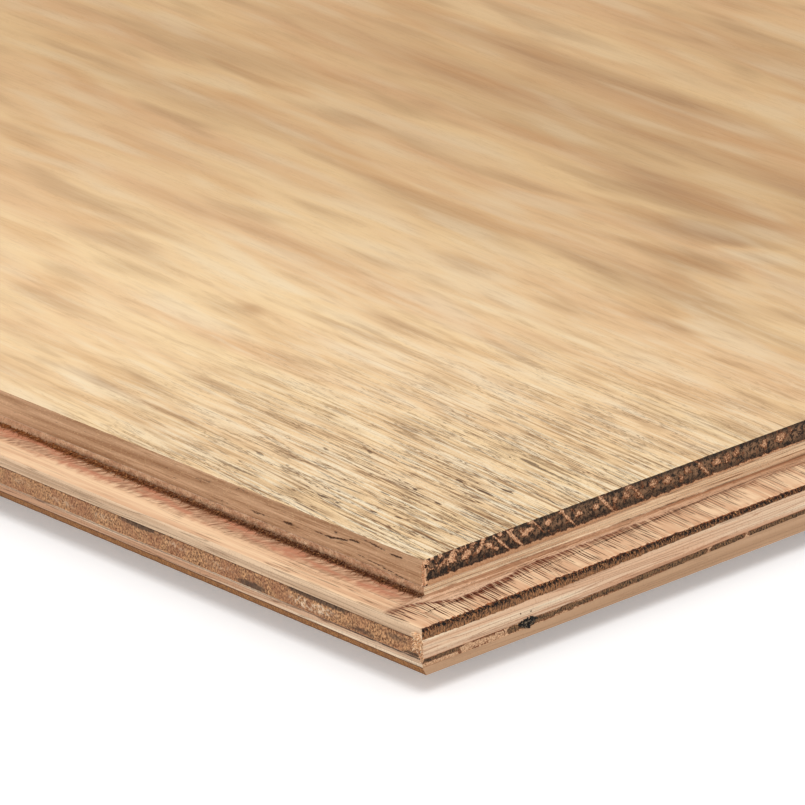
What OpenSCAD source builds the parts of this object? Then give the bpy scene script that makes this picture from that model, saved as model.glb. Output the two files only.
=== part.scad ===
// Engineered hardwood flooring plank: an oak face veneer on a plywood core of
// six more veneers, milled with a tongue and a groove on its sides and ends.
// Millimetres. +X runs along the plank, +Z up to the walking face. The long
// tongue is on -Y and the end tongue on +X. The origin is at the centre of
// the underside of the whole plank, tongues included.

/* [Plank] */
// Length of the walking face, without the end tongue
board_length = 2200; // [400:10:2400]
// Width of the walking face, without the long tongue
board_width = 220; // [120:5:300]
// Thickness from the underside to the walking face
board_thickness = 14; // [13:0.5:20]

/* [Veneers] */
// Mean thickness of the oak face veneer, which is the wear layer
face_veneer_t = 3.1; // [2:0.05:3.5]
// Mean thickness of the cross ply under the face veneer
cross_ply_1_t = 1.65; // [1.6:0.05:2.2]
// Mean thickness of the long ply that makes the top of the tongues
long_ply_1_t = 1.3; // [1:0.05:1.6]
// Mean thickness of the cross ply at mid depth
cross_ply_2_t = 2.4; // [2:0.05:2.6]
// Mean thickness of the thin long ply
long_ply_2_t = 0.85; // [0.5:0.05:1]
// Thickness of the backing veneer, which is also the lower lip
back_veneer_t = 3; // [2:0.1:4]
// How far each glue line waves up and down, from the top one down
glue_wave = [0.32, 0.08, 0.43, 0.38, 0.6]; // [0:0.01:0.65]
// Distance across the plank over which the waves repeat
wave_pitch = 128; // [60:1:300]

/* [Tongues] */
// How far the long tongue stands out of its side
long_tongue = 6.4; // [5:0.1:8]
// How far the end tongue stands out of its end
end_tongue = 6.6; // [5:0.1:8]
// Thickness of the upper lip, from the walking face to the tongue's root
upper_lip_t = 4.6; // [4:0.1:5]
// How far the top of a tongue falls from its root to its nose
tongue_fall = 0.4; // [0:0.05:0.8]
// Radius of the upper edge of the nose
nose_radius = 0.6; // [0.2:0.05:1.2]
// Depth of the chamfer under the nose of the long tongue
nose_chamfer_d = 0.6; // [0.1:0.05:1]
// Height of the chamfer under the nose of the long tongue
nose_chamfer_h = 1.2; // [0.1:0.05:1.5]
// How far the lower shoulder stands back from the upper one
shoulder_setback = 0.3; // [0.1:0.05:0.8]

/* [Grooves] */
// Clearance between the nose of a tongue and the bottom of its groove
nose_clearance = 0.5; // [0.2:0.05:1]
// Clearance above and below a tongue in its groove
face_clearance = 0.1; // [0.05:0.01:0.2]
// Bevel inside the mouth of the lower lip
mouth_bevel = 0.5; // [0.1:0.05:1]

/* [Hidden] */

// Mean depth of each waving glue line under the walking face, from the top one down
glue_1 = face_veneer_t;
glue_2 = glue_1 + cross_ply_1_t;
glue_3 = glue_2 + long_ply_1_t;
glue_4 = glue_3 + cross_ply_2_t;
glue_5 = glue_4 + long_ply_2_t;
glue_depth = [glue_1, glue_2, glue_3, glue_4, glue_5];

root_z = board_thickness - upper_lip_t;
nose_z = root_z - tongue_fall;
long_groove = long_tongue + nose_clearance;
end_groove = end_tongue + nose_clearance;

wave_step = 8; // spacing of the points on a waving glue line
nose_steps = 6;
over = 1; // how far a cutting shape runs past what it cuts

// Height of glue line i above the underside, at a distance y from the tongue side
function glue_z(i, y) = board_thickness - glue_depth[i] - glue_wave[i] * cos(360 * y / wave_pitch);

// Points of glue line i from one side of the plank to the other
function glue_points(i) = let (y0 = -long_tongue - over, y1 = board_width + over,
        n = ceil((y1 - y0) / wave_step))
    [for (k = [0 : n]) let (y = y0 + (y1 - y0) * k / n) [y, glue_z(i, y)]];

// A flat line across the plank at height z, for the slabs that have no wave there
function flat_points(z) = [[-long_tongue - over, z], [board_width + over, z]];

function reversed(points) = [for (k = [len(points) - 1 : -1 : 0]) points[k]];

// Tongue edge from the walking face down to the underside, as [distance out, height]
function tongue_points(reach, chamfer_d, chamfer_h) = let (
        centre = [reach - nose_radius, nose_z - nose_radius])
    concat(
        [[0, board_thickness], [0, root_z]],
        [for (k = [0 : nose_steps]) let (a = 90 - 90 * k / nose_steps)
            centre + nose_radius * [cos(a), sin(a)]],
        chamfer_d > 0 ? [[reach, back_veneer_t + chamfer_h]] : [],
        [[reach - chamfer_d, back_veneer_t], [-shoulder_setback, back_veneer_t],
            [-shoulder_setback, 0]]);

// Groove edge from the underside up to the walking face, as [distance in, height]
function groove_points(depth) = let (floor_z = back_veneer_t - face_clearance) [
    [0, 0], [0, floor_z - mouth_bevel], [mouth_bevel, floor_z], [depth, floor_z],
    [depth, nose_z + face_clearance], [0, root_z + face_clearance], [0, board_thickness]];

// Section across the plank, with the long tongue and the long groove
module long_profile() {
    polygon(concat(
        [for (p = tongue_points(long_tongue, nose_chamfer_d, nose_chamfer_h)) [-p.x, p.y]],
        [for (p = groove_points(long_groove)) [board_width - p.x, p.y]]));
}

// Section along the plank, with the end tongue and the end groove
module end_profile() {
    polygon(concat(
        [for (p = tongue_points(end_tongue, 0, 0)) [board_length + p.x, p.y]],
        [for (p = groove_points(end_groove)) [p.x, p.y]]));
}

// The whole milled plank, from the near corner of its walking face: what both
// cutters leave is where the two sections meet, so tongues wrap round a corner
// and a groove runs out through the tongue beside it
module milled_plank() {
    intersection() {
        translate([-over, 0, 0])
            rotate([90, 0, 90])
                linear_extrude(board_length + end_tongue + 2 * over)
                    long_profile();
        translate([0, board_width + over, 0])
            rotate([90, 0, 0])
                linear_extrude(board_width + long_tongue + 2 * over)
                    end_profile();
    }
}

// What a child shape takes from the milled plank, moved to the part's origin
module cut_from_plank() {
    translate([-(board_length + end_tongue) / 2, -(board_width - long_tongue) / 2, 0])
        intersection() {
            milled_plank();
            children();
        }
}

// One veneer of the tongues' depth, between an upper and a lower glue line
module veneer(upper, lower) {
    cut_from_plank()
        translate([-over, 0, 0])
            rotate([90, 0, 90])
                linear_extrude(board_length + end_tongue + 2 * over)
                    polygon(concat(upper, reversed(lower)));
}

module face_veneer() {
    color([0.86, 0.74, 0.58])
        veneer(flat_points(board_thickness + over), glue_points(0));
}

module cross_ply_1() {
    color([0.76, 0.6, 0.45])
        veneer(glue_points(0), glue_points(1));
}

module long_ply_1() {
    color([0.92, 0.78, 0.6])
        veneer(glue_points(1), glue_points(2));
}

module cross_ply_2() {
    color([0.84, 0.69, 0.55])
        veneer(glue_points(2), glue_points(3));
}

module long_ply_2() {
    color([0.5, 0.4, 0.33])
        veneer(glue_points(3), glue_points(4));
}

module cross_ply_3() {
    color([0.7, 0.56, 0.42])
        veneer(glue_points(4), flat_points(back_veneer_t));
}

module back_veneer() {
    color([0.8, 0.67, 0.52])
        cut_from_plank()
            translate([-over, shoulder_setback, -over])
                cube([over + board_length - shoulder_setback,
                    board_width - shoulder_setback + over, over + back_veneer_t]);
}

face_veneer();
cross_ply_1();
long_ply_1();
cross_ply_2();
long_ply_2();
cross_ply_3();
back_veneer();
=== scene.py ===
import math

import bmesh
import bpy
from mathutils import Matrix, Vector, noise


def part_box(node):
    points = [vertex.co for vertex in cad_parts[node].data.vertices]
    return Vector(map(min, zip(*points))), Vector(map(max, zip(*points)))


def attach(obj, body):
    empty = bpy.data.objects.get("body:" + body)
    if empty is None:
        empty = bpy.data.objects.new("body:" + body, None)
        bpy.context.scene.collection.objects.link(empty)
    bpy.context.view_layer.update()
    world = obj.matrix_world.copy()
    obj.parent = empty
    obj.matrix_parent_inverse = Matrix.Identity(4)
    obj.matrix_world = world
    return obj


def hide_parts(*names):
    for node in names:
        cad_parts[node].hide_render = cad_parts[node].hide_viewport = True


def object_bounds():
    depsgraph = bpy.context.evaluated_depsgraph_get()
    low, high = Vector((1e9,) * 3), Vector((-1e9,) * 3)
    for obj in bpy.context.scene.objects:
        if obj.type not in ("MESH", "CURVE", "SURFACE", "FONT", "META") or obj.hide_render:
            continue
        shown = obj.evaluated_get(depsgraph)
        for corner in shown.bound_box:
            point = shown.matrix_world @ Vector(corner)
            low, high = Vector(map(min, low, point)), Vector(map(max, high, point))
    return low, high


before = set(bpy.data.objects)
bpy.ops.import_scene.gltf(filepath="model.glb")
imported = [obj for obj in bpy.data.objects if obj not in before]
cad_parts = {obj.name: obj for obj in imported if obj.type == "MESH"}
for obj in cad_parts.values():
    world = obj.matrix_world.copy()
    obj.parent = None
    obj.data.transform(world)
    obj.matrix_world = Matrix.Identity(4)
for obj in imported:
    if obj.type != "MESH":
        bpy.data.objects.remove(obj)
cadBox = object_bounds()
mm = 0.001

# where the walking face is, from the frame, in metres
faceLow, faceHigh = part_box("face_veneer")
endFace = faceHigh.x          # shoulder plane of the end tongue
sideFace = faceLow.y          # shoulder plane of the long tongue
walkingTop = faceHigh.z
topHeight = walkingTop / mm   # the same in millimetres
boardLength = round((faceHigh.x - faceLow.x) / mm, 2)
boardWidth = round((faceHigh.y - faceLow.y) / mm, 2)

# how the veneers and the tongues lie, in millimetres
lay = {
    "glueDepth": [3.1, 4.75, 6.05, 8.45, 9.3],     # under the walking face, from the top line down
    "glueWave": [0.32, 0.08, 0.43, 0.38, 0.6],
    "wavePitch": 128,
    "rootHeight": 9.4,       # top of a tongue at its root
    "fall": 0.4,             # and how much lower it is at its nose
    "endReach": 6.6,         # how far the end tongue stands out
    "longReach": 6.4,
    "noseRadius": 0.6,
}
endFlat = lay["endReach"] - lay["noseRadius"]
longFlat = lay["longReach"] - lay["noseRadius"]


def toLinear(r, g, b):
    def one(c):
        c = c / 255
        return c / 12.92 if c <= 0.04045 else ((c + 0.055) / 1.055) ** 2.4
    return (one(r), one(g), one(b), 1)


def feed(tree, socket, value):
    if isinstance(value, bpy.types.NodeSocket):
        tree.links.new(value, socket)
    else:
        socket.default_value = value


def put(tree, kind, inputs=None, **props):
    n = tree.nodes.new(kind)
    for key, value in props.items():
        setattr(n, key, value)
    for key, value in (inputs or {}).items():
        feed(tree, n.inputs[key], value)
    return n


def calc(tree, operation, a, b=0.0, c=0.0):
    return put(tree, "ShaderNodeMath", {0: a, 1: b, 2: c}, operation=operation).outputs[0]


def plus(tree, a, b):
    return calc(tree, "ADD", a, b)


def minus(tree, a, b):
    return calc(tree, "SUBTRACT", a, b)


def times(tree, a, b):
    return calc(tree, "MULTIPLY", a, b)


def timesPlus(tree, a, b, c):
    return calc(tree, "MULTIPLY_ADD", a, b, c)


def higher(tree, a, b):
    return calc(tree, "MAXIMUM", a, b)


def lower(tree, a, b):
    return calc(tree, "MINIMUM", a, b)


def vectorCalc(tree, operation, a, b=(0, 0, 0), c=(0, 0, 0)):
    return put(tree, "ShaderNodeVectorMath", {0: a, 1: b, 2: c}, operation=operation).outputs[0]


def vectorOf(tree, x, y, z=0.0):
    return put(tree, "ShaderNodeCombineXYZ", {0: x, 1: y, 2: z}).outputs[0]


def partsOf(tree, vector):
    return put(tree, "ShaderNodeSeparateXYZ", {0: vector}).outputs


def remap(tree, value, low, high, toLow=0.0, toHigh=1.0, kind="SMOOTHSTEP"):
    limits = {"Value": value, "From Min": low, "From Max": high, "To Min": toLow, "To Max": toHigh}
    return put(tree, "ShaderNodeMapRange", limits, interpolation_type=kind).outputs[0]


def blend(tree, amount, a, b, mode="MIX"):
    n = put(tree, "ShaderNodeMix", data_type="RGBA", blend_type=mode)
    feed(tree, n.inputs[0], amount)
    feed(tree, n.inputs[6], a)
    feed(tree, n.inputs[7], b)
    return n.outputs[2]


def tint(tree, colour, toward, value, low, high, amount=1, within=None):
    # the colour goes toward another one as the value goes from low to high
    share = remap(tree, value, low, high, 0, amount)
    if within is not None:
        share = times(tree, share, within)
    return blend(tree, share, colour, toward)


def mixValue(tree, amount, a, b):
    n = put(tree, "ShaderNodeMix", data_type="FLOAT")
    feed(tree, n.inputs[0], amount)
    feed(tree, n.inputs[2], a)
    feed(tree, n.inputs[3], b)
    return n.outputs[0]


def noiseAt(tree, place, scale=1.0, detail=2.0, roughness=0.5, distort=0.0, output="Fac"):
    return put(tree, "ShaderNodeTexNoise", {
        "Vector": place, "Scale": scale, "Detail": detail, "Roughness": roughness,
        "Distortion": distort}).outputs[output]


def stretch(tree, place, x, y, z, shift=(0, 0, 0)):
    return vectorCalc(tree, "MULTIPLY_ADD", place, (x, y, z), shift)


def noiseOver(tree, place, perMm, detail, roughness, distort=0.0, shift=(0, 0, 0), output="Fac"):
    # noise with so many marks to a millimetre along each axis
    return noiseAt(tree, stretch(tree, place, *perMm, shift), 1, detail, roughness, distort, output)


def ridge(tree, value, middle, halfWidth):
    away = calc(tree, "ABSOLUTE", minus(tree, value, middle))
    return remap(tree, away, 0, halfWidth, 1, 0)


def newGroup(name, inputs, outputs):
    tree = bpy.data.node_groups.new(name, "ShaderNodeTree")
    for socketName, kind, default in inputs:
        s = tree.interface.new_socket(socketName, in_out="INPUT", socket_type="NodeSocket" + kind)
        if default is not None:
            s.default_value = default
    for socketName, kind in outputs:
        tree.interface.new_socket(socketName, in_out="OUTPUT", socket_type="NodeSocket" + kind)
    return tree, tree.nodes.new("NodeGroupInput").outputs, tree.nodes.new("NodeGroupOutput").inputs


def useGroup(tree, group, inputs):
    n = put(tree, "ShaderNodeGroup", node_tree=group)
    for key, value in inputs.items():
        feed(tree, n.inputs[key], value)
    return n.outputs


def longGrainGroup():
    # streaks along local X: soft wide ones, fine ones and thin dark lines
    tree, gin, gout = newGroup("longGrain", [
        ("Place", "Vector", None), ("Along", "Float", 0.03), ("Across", "Float", 1.0),
        ("Shift", "Float", 0.0)], [("Broad", "Float"), ("Fine", "Float"), ("Lines", "Float")])
    scale = vectorOf(tree, gin["Along"], gin["Across"], gin["Across"])
    shift = vectorOf(tree, gin["Shift"], gin["Shift"], gin["Shift"])
    base = vectorCalc(tree, "MULTIPLY_ADD", gin["Place"], scale, shift)
    tree.links.new(noiseAt(tree, base, 0.7, 2, 0.5, 0.3), gout["Broad"])
    tree.links.new(noiseAt(tree, base, 3.2, 3, 0.6), gout["Fine"])
    tree.links.new(ridge(tree, noiseAt(tree, base, 1.5, 1, 0.4, 0.2), 0.5, 0.03), gout["Lines"])
    return tree


def cutFibresGroup():
    # fibres cut across: speckle drawn out upward by the cutter, and open pits
    tree, gin, gout = newGroup("cutFibres", [
        ("Place", "Vector", None), ("Size", "Float", 1.0), ("Pull", "Float", 0.5), ("Shift", "Float", 0.0)],
        [("Speckle", "Float"), ("Pits", "Float"), ("Patches", "Float")])
    scale = vectorOf(tree, gin["Size"], gin["Size"], times(tree, gin["Size"], gin["Pull"]))
    shift = vectorOf(tree, gin["Shift"], gin["Shift"], gin["Shift"])
    base = vectorCalc(tree, "MULTIPLY_ADD", gin["Place"], scale, shift)
    tree.links.new(noiseAt(tree, base, 3.4, 3, 0.7), gout["Speckle"])
    pores = put(tree, "ShaderNodeTexVoronoi", {"Vector": base, "Scale": 2.6, "Randomness": 1.0})
    tree.links.new(remap(tree, pores.outputs["Distance"], 0.14, 0.34, 1, 0), gout["Pits"])
    tree.links.new(noiseAt(tree, base, 0.35, 2, 0.6), gout["Patches"])
    return tree


def underGlueGroup():
    # how far a point is below a waving glue line, in millimetres
    tree, gin, gout = newGroup("underGlue", [
        ("Place", "Vector", None), ("Depth", "Float", 3.0), ("Wave", "Float", 0.0)],
        [("Distance", "Float")])
    parts = partsOf(tree, gin["Place"])
    turn = times(tree, parts[1], 2 * math.pi / lay["wavePitch"])
    drop = timesPlus(tree, calc(tree, "COSINE", turn), gin["Wave"], gin["Depth"])
    height = minus(tree, topHeight, drop)
    tree.links.new(minus(tree, height, parts[2]), gout["Distance"])
    return tree


longGrain = longGrainGroup()
cutFibres = cutFibresGroup()
underGlue = underGlueGroup()


def readAttribute(tree, name, output="Fac"):
    return put(tree, "ShaderNodeAttribute", attribute_name=name).outputs[output]


def newMaterial(name):
    mat = bpy.data.materials.new(name)
    mat.use_nodes = True
    mat.node_tree.nodes.clear()
    return mat, mat.node_tree


def placeFromCorner(tree):
    # in millimetres from the near corner of the walking face, z from the underside
    coords = put(tree, "ShaderNodeTexCoord").outputs["Object"]
    return stretch(tree, coords, 1 / mm, 1 / mm, 1 / mm, (-endFace / mm, -sideFace / mm, 0))


def startMaterial(name, shaped=True):
    # onEnd and onSide are 1 on the faces that the cutters left; a shaped piece stores where they are
    mat, tree = newMaterial(name)
    place = placeFromCorner(tree)
    if shaped:
        facing = partsOf(tree, readAttribute(tree, "facing", "Vector"))
    else:
        normal = put(tree, "ShaderNodeNewGeometry").outputs["True Normal"]
        facing = partsOf(tree, vectorCalc(tree, "ABSOLUTE", normal))
    onEnd = remap(tree, facing[0], 0.45, 0.6)
    onSide = remap(tree, facing[1], 0.45, 0.6)
    return mat, tree, place, onEnd, onSide


def finishMaterial(mat, colour, height, depth, roughness=0.62):
    tree = mat.node_tree
    shader = put(tree, "ShaderNodeBsdfPrincipled", {
        "Base Color": colour, "Roughness": roughness, "Specular IOR Level": 0.25})
    bump = put(tree, "ShaderNodeBump", {"Height": height, "Strength": 1.0, "Distance": depth * mm})
    tree.links.new(bump.outputs[0], shader.inputs["Normal"])
    tree.links.new(shader.outputs[0], put(tree, "ShaderNodeOutputMaterial").inputs[0])
    return mat


def newObject(name, data):
    made = bpy.data.objects.new(name, data)
    bpy.context.scene.collection.objects.link(made)
    return made


# fine cells on the faces near the corner, so that chips and torn wood are real shapes, in millimetres
cells = {
    "endReach": 62,              # how far from the corner they go on the end
    "sideReach": 78,             # on the long side
    "topReach": (255, 200),      # and on the walking face, along and across the plank
    "finest": 0.2,
    "finestTo": (40, 30),        # past this, along and across the plank, they are twice as wide
    "faceRuns": [(-80, 3.5), (-45, 0.7), (-1, 0.5)],     # along the walking face: up to here, so wide
    "faceRim": [-0.7, -0.45, -0.25, -0.1],
    "faceFar": 2.3,              # widest across it
    "fade": (12, 10),            # the shapes fade out over this, along and across the plank
}
endKind, sideKind, endTopKind, longTopKind, endNoseKind, longNoseKind, faceKind = range(1, 8)
toCorner = Matrix.Scale(1 / mm, 4) @ Matrix.Translation((-endFace, -sideFace, 0))


def spaced(low, high, step):
    count = max(1, round((high - low) / step))
    return [low + (high - low) * k / count for k in range(count + 1)]


def spacedRuns(start, *runs):
    # places along a line, in runs that each have an end and a spacing
    places = [start]
    for stop, step in runs:
        places += spaced(places[-1], stop, step)[1:]
    return places


fineStep = cells["finest"]
alongFine, acrossFine = cells["finestTo"]
acrossCuts = spacedRuns(
    fineStep - lay["longReach"], (acrossFine, fineStep), (cells["endReach"], 2 * fineStep))
alongCuts = spacedRuns(-cells["sideReach"], (-alongFine, 2 * fineStep), (lay["longReach"], fineStep))
faceAlongCuts = spacedRuns(-cells["topReach"][0], *cells["faceRuns"]) + cells["faceRim"]
faceAcrossCuts = [fineStep / 2] + spacedRuns(
    fineStep, (acrossFine, fineStep), (cells["endReach"], 2 * fineStep),
    (cells["topReach"][1], cells["faceFar"]))


def ramp(value, low, high):
    t = min(max((value - low) / (high - low), 0.0), 1.0)
    return t * t * (3 - 2 * t)


def rough(x, y, z=0.0, octaves=3):
    return noise.fractal(Vector((x, y, z)), 1.0, 2.0, octaves)


def tongueHeight(x, y):
    return lay["rootHeight"] - lay["fall"] * max(max(x, 0) / endFlat, max(-y, 0) / longFlat)


def kindOf(face):
    # which of the plank's outer faces this one is, or 0 for a hidden one
    n = face.normal
    spots = [v.co for v in face.verts]
    lowX, highY = min(p.x for p in spots), max(p.y for p in spots)
    if n.x > 0.7 and lowX > -0.4:
        return endKind
    if n.y < -0.7 and highY < 0.4:
        return sideKind
    if n.z > 0.9 and min(p.z for p in spots) > topHeight - 0.01:
        return faceKind
    if n.z > 0.9 and all(abs(p.z - tongueHeight(p.x, p.y)) < 0.03 for p in spots):
        return endTopKind if n.x > 0.01 else longTopKind
    noseBottom = lay["rootHeight"] - lay["fall"] - lay["noseRadius"]
    if n.z > 0.1 and min(p.z for p in spots) > noseBottom - 0.1:
        if lowX > endFlat - 0.1:
            return endNoseKind
        if highY < 0.1 - longFlat:
            return longNoseKind
    return 0


def inReach(kind, centre):
    if kind == faceKind:
        return centre.x > -cells["topReach"][0] and centre.y < cells["topReach"][1]
    if kind in (endKind, endTopKind, endNoseKind):
        return centre.y < cells["endReach"]
    return centre.x > -cells["sideReach"]


def cutCells(bm, kinds, kind, cuts):
    faces = [f for f in bm.faces if f[kinds] == kind]
    for axis, places in cuts:
        normal = Vector([float(axis == k) for k in range(3)])
        ready = []
        for place in places:
            if not faces:
                break
            edges = {e for f in faces for e in f.edges}
            corners = {v for f in faces for v in f.verts}
            found = bmesh.ops.bisect_plane(bm, geom=faces + list(edges) + list(corners), dist=1e-4,
                                           plane_co=normal * place, plane_no=normal)["geom"]
            faces = []
            for f in found:
                if isinstance(f, bmesh.types.BMFace):
                    (ready if f.calc_center_median()[axis] < place else faces).append(f)
        faces = [f for f in ready + faces if inReach(kind, f.calc_center_median())]
    return faces


def openVeneer(node):
    # a copy of a veneer, in millimetres from the near corner, with the kind and direction of each face
    bm = bmesh.new()
    bm.from_mesh(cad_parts[node].data)
    bm.transform(toCorner)
    bmesh.ops.remove_doubles(bm, verts=bm.verts, dist=1e-3)
    bmesh.ops.dissolve_limit(bm, angle_limit=math.radians(0.05), verts=bm.verts, edges=bm.edges)
    kinds = bm.faces.layers.int.new("kind")
    facing = bm.faces.layers.float_vector.new("facing")
    for f in bm.faces:
        f[kinds] = kindOf(f)
        f[facing] = Vector([abs(c) for c in f.normal])
    return bm, kinds


def cutVeneer(bm, kinds):
    heights = [v.co.z for v in bm.verts]
    rows = spaced(min(heights) + 0.1, max(heights) - 0.1, fineStep)
    fine = set()
    for kind, cuts in (
            (endKind, [(1, acrossCuts), (2, rows)]),
            (sideKind, [(0, alongCuts), (2, rows)]),
            (endTopKind, [(1, acrossCuts), (0, spaced(fineStep, endFlat - fineStep, fineStep))]),
            (longTopKind, [(0, alongCuts), (1, spaced(fineStep - longFlat, -fineStep, fineStep))]),
            (endNoseKind, [(1, acrossCuts)]),
            (longNoseKind, [(0, alongCuts)]),
            (faceKind, [(0, faceAlongCuts), (1, faceAcrossCuts)])):
        fine.update(cutCells(bm, kinds, kind, cuts))
    return [f for f in fine if f.is_valid]


def markEdges(bm, fine):
    bm.normal_update()
    for e in bm.edges:
        if len(e.link_faces) == 2 and e.link_faces[0].normal.dot(e.link_faces[1].normal) < 0.85:
            e.smooth = False
    for f in fine:
        f.smooth = True


def fadeAt(distance, reach, over):
    return 1 - ramp(distance, reach - over, reach - 1)


def moveVeneer(bm, kinds, fine, moves, fields):
    # moves give millimetres outwards and fields give marks, both from the place on the plain veneer
    layers = {name: bm.verts.layers.float.new(name) for name in fields}
    seenBy = {}
    for f in fine:
        for v in f.verts:
            seenBy.setdefault(v, set()).add(f[kinds])
    shifts = []
    for v, here in seenBy.items():
        p = v.co
        for name, field in fields.items():
            v[layers[name]] = field(p)
        step = Vector((0, 0, 0))
        endFade = fadeAt(p.y, cells["endReach"], cells["fade"][1])
        sideFade = fadeAt(-p.x, cells["sideReach"], cells["fade"][0])
        if here & {endKind, endNoseKind}:
            step.x += moves["end"](p) * endFade
        if here & {sideKind, longNoseKind}:
            step.y -= moves["side"](p) * sideFade
        if "top" in moves and here - {endKind, sideKind}:
            step.z += moves["top"](p) * endFade * sideFade
        shifts.append((v, step))
    for v, step in shifts:
        v.co += step


def shapeNode(node, pieceName, mat, moves, fields):
    # a copy of a veneer with fine cells near the corner takes its place
    bm, kinds = openVeneer(node)
    fine = cutVeneer(bm, kinds)
    markEdges(bm, fine)
    moveVeneer(bm, kinds, fine, moves, fields)
    bm.faces.layers.int.remove(kinds)
    bm.transform(toCorner.inverted())
    mesh = bpy.data.meshes.new(pieceName)
    bm.to_mesh(mesh)
    bm.free()
    mesh.materials.append(mat)
    piece = newObject(pieceName, mesh)
    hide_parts(node)
    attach(piece, "root")
    mesh.calc_loop_triangles()
    print(pieceName, len(mesh.loop_triangles), "triangles")


def markDepth(marks, x, y):
    # how far a point is inside the nearest mark: 0.5 at its edge, 0 a quarter millimetre outside
    best = 0.0
    for cx, cy, halfLength, halfWidth, slope, strength in marks:
        along = (x - cx) / halfLength
        if abs(along) > 1.5 or abs(y - cy) > 3:
            continue
        inside = halfWidth * (1 - along * along) - abs(y - cy - slope * (x - cx))
        best = max(best, min(inside * 2 + 0.5, 0.5 + 0.2 * (2 * strength - 1)))
    return best


def softMarks(marks, x, y):
    # how strongly soft patches cover a point, dark ones or light ones by the sign of their strength
    total = 0.0
    for cx, cy, halfLength, halfWidth, slope, strength in marks:
        along = (x - cx) / halfLength
        across = (y - cy - slope * (x - cx)) / halfWidth
        reach = along * along + across * across
        if reach < 4:
            total += strength * (1 - ramp(math.sqrt(reach), 0.2, 1.6))
    return total


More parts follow.
